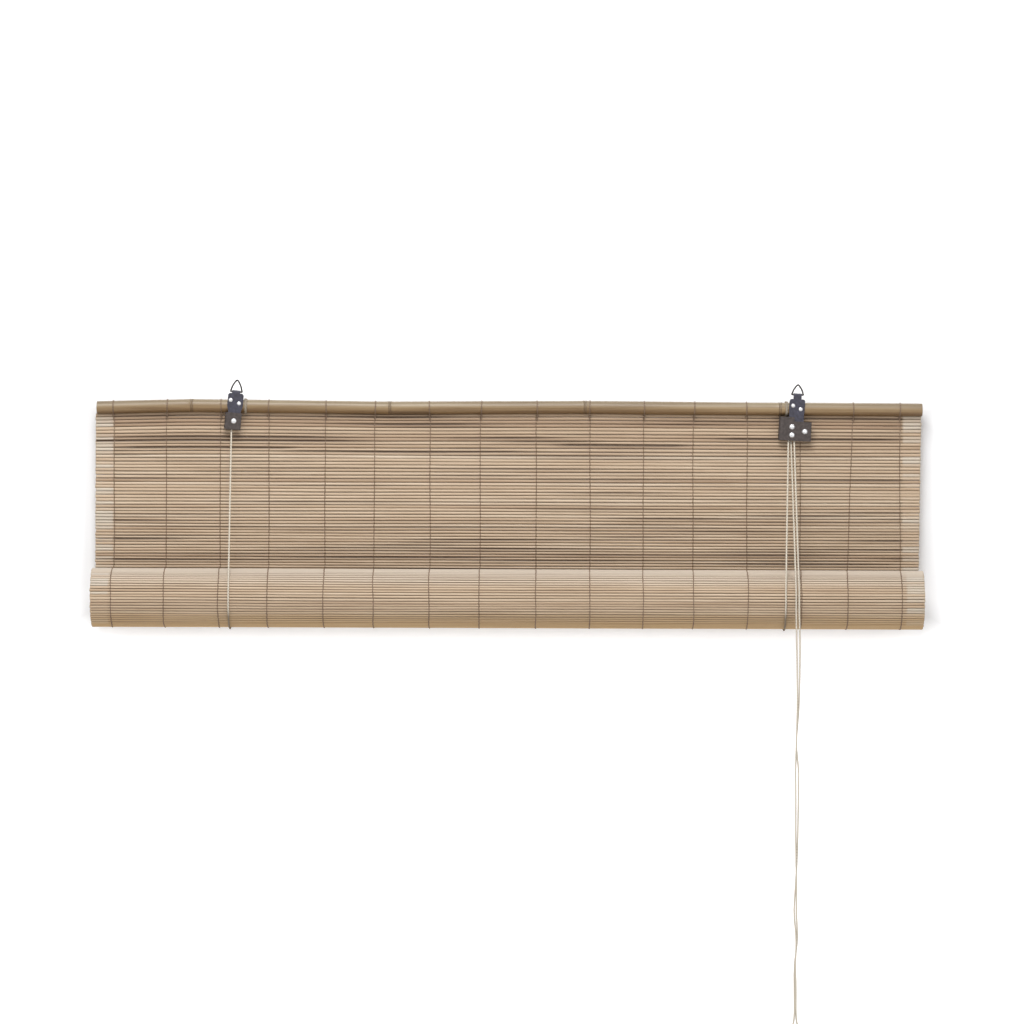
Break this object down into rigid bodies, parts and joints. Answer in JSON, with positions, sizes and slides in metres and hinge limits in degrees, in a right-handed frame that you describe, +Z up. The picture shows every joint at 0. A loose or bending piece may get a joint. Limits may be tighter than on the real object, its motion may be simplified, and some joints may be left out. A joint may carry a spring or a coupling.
{
  "type": "roll up blind",
  "caption": "Bamboo reed roll up blind hung by two wire rings from its pole, its lower part rolled up in cord slings that run over sheaves to a cam lock and two pull cords",
  "frame": {"origin": "on the line that the two hooks bear on, where each wire ring hangs, midway along the pole and in the plane of the mat's front face", "axes": "+X along the pole, to the right as seen from the room; +Z up; -Y towards the room"},
  "size_m": [1.2012, 0.106, 0.9824],
  "materials": {
    "bamboo_pole": "satin",
    "bamboo_reed": "matt",
    "weaving_thread": "matt",
    "lift_cord": "matt",
    "painted_steel": "satin",
    "bright_steel": "polished",
    "dark_steel": "satin",
    "sheave_plastic": "satin",
    "cam_brass": "satin"
  },
  "bodies": {
    "head": {"axle_rivet_left": "bright_steel", "axle_rivet_right": "bright_steel", "cam_rivet": "bright_steel", "cord_coil": "lift_cord", "guide_post_rivet": "bright_steel", "hanger_strap_left": "painted_steel", "hanger_strap_right": "painted_steel", "head_rail": "bamboo_pole", "hung_mat": "bamboo_reed", "left_cord_anchor": "lift_cord", "left_cord_back_fall": "lift_cord", "left_cord_crossing": "lift_cord", "left_cord_front_fall": "lift_cord", "left_cord_pull_drop": "lift_cord", "left_cord_pull_leg": "lift_cord", "left_cord_pull_tail": "lift_cord", "lock_housing_right": "painted_steel", "pulley_housing_left": "painted_steel", "rail_thread_loops": "weaving_thread", "right_cord_anchor": "lift_cord", "right_cord_back_fall": "lift_cord", "right_cord_front_fall": "lift_cord", "right_cord_over_sheave": "lift_cord", "right_cord_pull_drop": "lift_cord", "right_cord_pull_leg": "lift_cord", "right_cord_pull_tail": "lift_cord", "strap_nails": "bright_steel"},
    "ring_left": {"hang_ring_left": "dark_steel"},
    "ring_right": {"hang_ring_right": "dark_steel"},
    "left_sheave": {"sheave_left": "sheave_plastic"},
    "right_front_sheave": {"sheave_right_front": "sheave_plastic"},
    "right_back_sheave": {"sheave_right_back": "sheave_plastic"},
    "cam": {"lock_cam": "cam_brass"},
    "sling_carriage": {"left_cord_sling": "lift_cord", "right_cord_sling": "lift_cord", "left_cord_pull_wrap": "lift_cord", "right_cord_pull_wrap": "lift_cord"},
    "roll": {"mat_roll": "bamboo_reed", "bottom_rod": "bamboo_reed"}
  },
  "joints": [
    {"name": "ring_left_swing", "type": "hinge", "parent": "head", "child": "ring_left", "pos_m": [-0.3951, -0.00854, -0.01565], "axis": [0.9962, 0, -0.0872], "range_deg": [-80, 80]},
    {"name": "ring_right_swing", "type": "hinge", "parent": "head", "child": "ring_right", "pos_m": [0.42068, -0.00854, -0.01739], "axis": [0.9986, 0, -0.0523], "range_deg": [-80, 80]},
    {"name": "sheave_left_turn", "type": "hinge", "parent": "head", "child": "left_sheave", "pos_m": [-0.39854, -0.00737, -0.05841], "axis": [0, 1, 0], "continuous": true},
    {"name": "sheave_right_front_turn", "type": "hinge", "parent": "head", "child": "right_front_sheave", "pos_m": [0.41263, -0.00757, -0.06403], "axis": [0, 1, 0], "continuous": true},
    {"name": "sheave_right_back_turn", "type": "hinge", "parent": "head", "child": "right_back_sheave", "pos_m": [0.41263, -0.00407, -0.06403], "axis": [0, 1, 0], "continuous": true},
    {"name": "lock_cam_swing", "type": "hinge", "parent": "head", "child": "cam", "pos_m": [0.4312, -0.00582, -0.07092], "axis": [0, -1, 0], "range_deg": [0, 40]},
    {"name": "roll_lift", "type": "slide", "parent": "head", "child": "sling_carriage", "axis": [0, 0, 1], "range_m": [0, 0.15], "deforming": ["hung_mat", "left_cord_back_fall", "right_cord_back_fall", "left_cord_front_fall", "right_cord_front_fall", "left_cord_pull_leg", "right_cord_pull_leg", "left_cord_pull_drop", "right_cord_pull_drop"]},
    {"name": "roll_turn", "type": "hinge", "parent": "sling_carriage", "child": "roll", "pos_m": [0, -0.0393, -0.3142], "axis": [1, 0, 0], "range_deg": [-200, 0]}
  ],
  "couplings": [
    {"joint": "roll_turn", "follows": "roll_lift", "rad_per_m": -23.09},
    {"joint": "sheave_left_turn", "follows": "roll_lift", "rad_per_m": 547.9},
    {"joint": "sheave_right_front_turn", "follows": "roll_lift", "rad_per_m": 396},
    {"joint": "sheave_right_back_turn", "follows": "roll_lift", "rad_per_m": 396}
  ]
}
